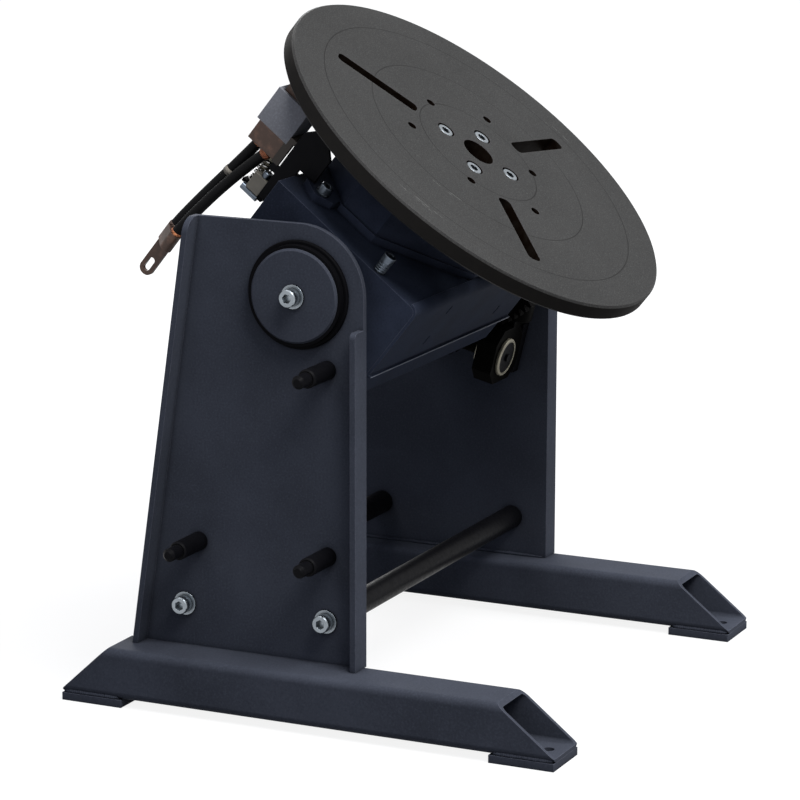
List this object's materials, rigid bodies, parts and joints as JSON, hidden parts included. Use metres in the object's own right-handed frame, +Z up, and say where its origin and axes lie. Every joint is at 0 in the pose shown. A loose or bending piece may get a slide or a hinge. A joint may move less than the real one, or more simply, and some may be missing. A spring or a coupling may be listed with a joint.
{
  "type": "welding positioner",
  "caption": "Tilting and turning round slotted table on a geared cradle between two side plates on foot beams, with an earth contact.",
  "frame": {"origin": "centre of the four floor bolt holes, on the floor", "axes": "+Z up, X along the tilt axis, -Y towards the operator's side that the table leans to"},
  "size_m": [0.5615, 0.54, 0.685],
  "materials": {
    "frame_paint": "anthracite powder coat",
    "housing_paint": "dark blue paint",
    "table_black": "black oxide, satin",
    "black_steel": "blackened steel",
    "zinc": "zinc plated",
    "bush_plastic": "black acetal",
    "motor_black": "black anodised",
    "gear_steel": "machined steel, oiled",
    "dark_gear": "blackened gear steel, greased",
    "clamp_steel": "yellow passivated steel",
    "ring_steel": "machined steel",
    "copper": "oxidised copper",
    "sheet_grey": "grey painted sheet",
    "insulator": "phenolic insulator",
    "cable_rubber": "braided rubber jacket",
    "spring_steel": "spring steel"
  },
  "bodies": {
    "stand": {"left_beam": "frame_paint", "left_foot_plates": "frame_paint", "right_beam": "frame_paint", "right_foot_plates": "frame_paint", "left_side_plate": "frame_paint", "right_side_plate": "frame_paint", "left_bush": "bush_plastic", "right_bush": "bush_plastic", "front_tie_rod": "black_steel", "rear_tie_rod": "black_steel", "tie_rod_screws": "zinc", "tie_rod_washers": "zinc", "cable_pins": "black_steel", "tilt_gearbox": "motor_black", "tilt_motor": "motor_black", "gearbox_bracket": "black_steel", "worm_bearing_block": "black_steel", "drive_screws": "zinc"},
    "cradle": {"cradle_frame": "frame_paint", "left_trunnion": "frame_paint", "right_trunnion": "dark_gear", "right_trunnion_disc": "frame_paint", "trunnion_screws": "zinc", "trunnion_washers": "zinc", "tilt_gear_sector": "dark_gear", "sector_screws": "zinc", "front_cover": "frame_paint", "housing_base": "housing_paint", "housing_shell": "housing_paint", "bearing_housing": "gear_steel", "bearing_outer_rings": "gear_steel", "bearing_rollers": "gear_steel", "housing_screws": "zinc", "base_screws": "zinc", "rotation_motor": "motor_black", "earth_bracket": "black_steel", "earth_insulator": "insulator", "earth_holder": "copper", "earth_cover": "sheet_grey", "earth_clamp": "clamp_steel", "clamp_screws": "zinc", "brush_spring": "spring_steel", "outer_earth_lead": "cable_rubber", "inner_earth_lead": "cable_rubber", "cable_lug": "copper"},
    "table": {"table_plate": "table_black", "table_screws": "zinc", "spindle": "gear_steel", "spindle_gear": "gear_steel", "spindle_nut": "gear_steel", "bearing_inner_rings": "gear_steel"},
    "pinion": {"drive_pinion": "gear_steel"},
    "worm": {"tilt_worm": "dark_gear", "output_sleeve": "ring_steel", "shaft_end_cap": "black_steel", "shaft_end_screw": "zinc"},
    "brush": {"contact_brush": "copper", "brush_rod": "ring_steel"}
  },
  "joints": [
    {"name": "tilt", "type": "hinge", "parent": "stand", "child": "cradle", "pos_m": [0, 0.025, 0.43], "axis": [1, 0, 0], "range_deg": [-38.5, 51.5]},
    {"name": "table_spin", "type": "hinge", "parent": "cradle", "child": "table", "pos_m": [0, -0.06184, 0.53917], "axis": [0, -0.6225, 0.7826], "continuous": true},
    {"name": "pinion_spin", "type": "hinge", "parent": "cradle", "child": "pinion", "pos_m": [-0.09, -0.02605, 0.49417], "axis": [0, -0.6225, 0.7826], "continuous": true},
    {"name": "worm_spin", "type": "hinge", "parent": "stand", "child": "worm", "pos_m": [0.186, 0.05422, 0.31279], "axis": [0, 0.9703, 0.2419], "continuous": true},
    {"name": "brush_slide", "type": "slide", "parent": "cradle", "child": "brush", "axis": [0, -0.6225, 0.7826], "range_m": [-0.006, 0], "stiffness_N_per_m": 900, "springref_m": 0.02, "deforming": ["brush_spring"]}
  ],
  "couplings": [
    {"joint": "pinion_spin", "follows": "table_spin", "ratio": -3.5},
    {"joint": "worm_spin", "follows": "tilt", "ratio": -84}
  ]
}
